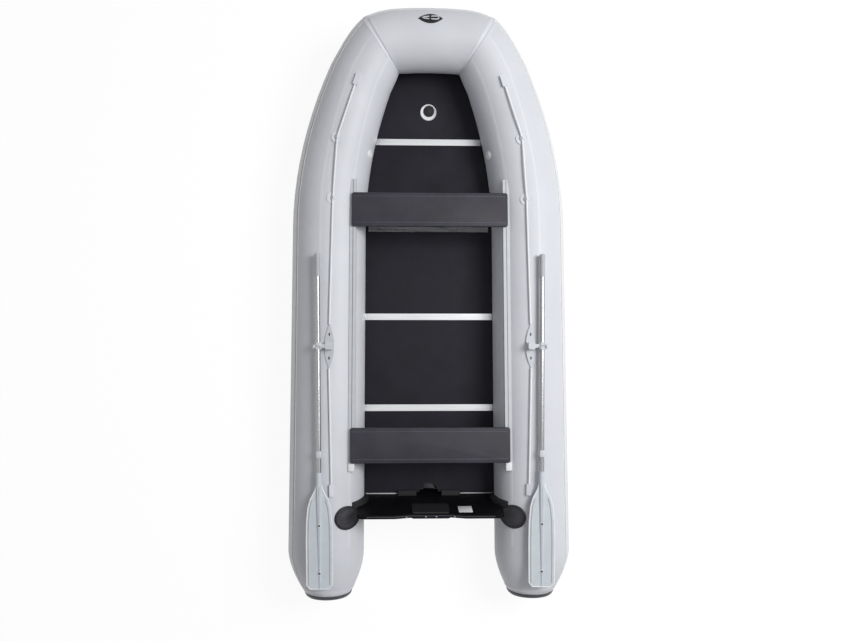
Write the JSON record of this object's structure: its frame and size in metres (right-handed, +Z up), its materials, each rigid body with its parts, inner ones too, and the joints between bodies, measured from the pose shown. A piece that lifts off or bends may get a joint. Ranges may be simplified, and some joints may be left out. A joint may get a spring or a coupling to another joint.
{
  "type": "inflatable boat",
  "caption": "Soft-bottomed inflatable boat with a sectional floor, inflatable keel, wooden transom, sliding bench seats, rowlocks and stowed oars.",
  "frame": {"origin": "under the middle of the boat, on the ground it stands on", "axes": "+Y to the bow, +X to starboard, +Z up"},
  "size_m": [1.8516, 3.898, 0.6441],
  "materials": {
    "tube_fabric": "semi-matt coated fabric, light cool grey",
    "cap_rubber": "moulded rubber, dark blue-grey",
    "strake_rubber": "moulded rub strake, pale grey",
    "bottom_fabric": "coated fabric, dark grey",
    "floor_board": "marine plywood with a black non-slip coating",
    "joiner_aluminium": "drawn aluminium",
    "rail_plastic": "white plastic",
    "seat_board": "plywood with a charcoal coating",
    "transom_wood": "marine plywood with a black coating",
    "pad_plastic": "black plastic",
    "holder_rubber": "black moulded rubber",
    "rowlock_plastic": "light grey plastic",
    "oar_aluminium": "bright anodised tube",
    "grip_plastic": "grey plastic",
    "blade_plastic": "pale blue-grey plastic",
    "rope": "white braided rope",
    "fitting_rubber": "light grey moulded rubber",
    "valve_plastic": "pale grey plastic",
    "plug_plastic": "black plastic",
    "eye_steel": "stainless steel"
  },
  "bodies": {
    "hull": {"tube_port": "tube_fabric", "tube_starboard": "tube_fabric", "tube_bow": "tube_fabric", "end_caps": "cap_rubber", "rub_strake_port": "strake_rubber", "rub_strake_starboard": "strake_rubber", "rub_strake_bow": "strake_rubber", "bottom_skin": "bottom_fabric", "keel_tube": "bottom_fabric", "keel_guard": "strake_rubber", "floor_board_bow": "floor_board", "floor_boards_mid": "floor_board", "floor_board_aft": "floor_board", "floor_joiners": "joiner_aluminium", "seat_rails": "rail_plastic", "transom_board": "transom_wood", "motor_pad_inner": "pad_plastic", "motor_pad_outer": "pad_plastic", "transom_chocks": "holder_rubber", "transom_holders": "holder_rubber", "rowlock_bases": "rowlock_plastic", "lifelines": "rope", "rope_fittings": "fitting_rubber", "bow_handle": "fitting_rubber", "tube_valves": "valve_plastic", "keel_valve": "valve_plastic", "drain_plug": "plug_plastic", "towing_eyes": "eye_steel"},
    "seat_front": {"seat_front_board": "seat_board", "seat_front_hooks": "rail_plastic"},
    "seat_rear": {"seat_rear_board": "seat_board", "seat_rear_hooks": "rail_plastic"},
    "oar_port": {"rowlock_swivel_port": "rowlock_plastic", "oar_shaft_port": "oar_aluminium", "oar_fittings_port": "grip_plastic", "oar_blade_port": "blade_plastic"},
    "oar_starboard": {"rowlock_swivel_starboard": "rowlock_plastic", "oar_shaft_starboard": "oar_aluminium", "oar_fittings_starboard": "grip_plastic", "oar_blade_starboard": "blade_plastic"}
  },
  "joints": [
    {"name": "front_seat_slide", "type": "slide", "parent": "hull", "child": "seat_front", "axis": [0, 1, 0], "range_m": [-0.64, 0.04]},
    {"name": "rear_seat_slide", "type": "slide", "parent": "hull", "child": "seat_rear", "axis": [0, 1, 0], "range_m": [-0.035, 0.64]},
    {"name": "port_oar_swing", "type": "hinge", "parent": "hull", "child": "oar_port", "pos_m": [-0.647, -0.326, 0.4955], "axis": [0, 0, -1], "range_deg": [0, 115]},
    {"name": "starboard_oar_swing", "type": "hinge", "parent": "hull", "child": "oar_starboard", "pos_m": [0.647, -0.326, 0.4955], "axis": [0, 0, 1], "range_deg": [0, 115]}
  ]
}
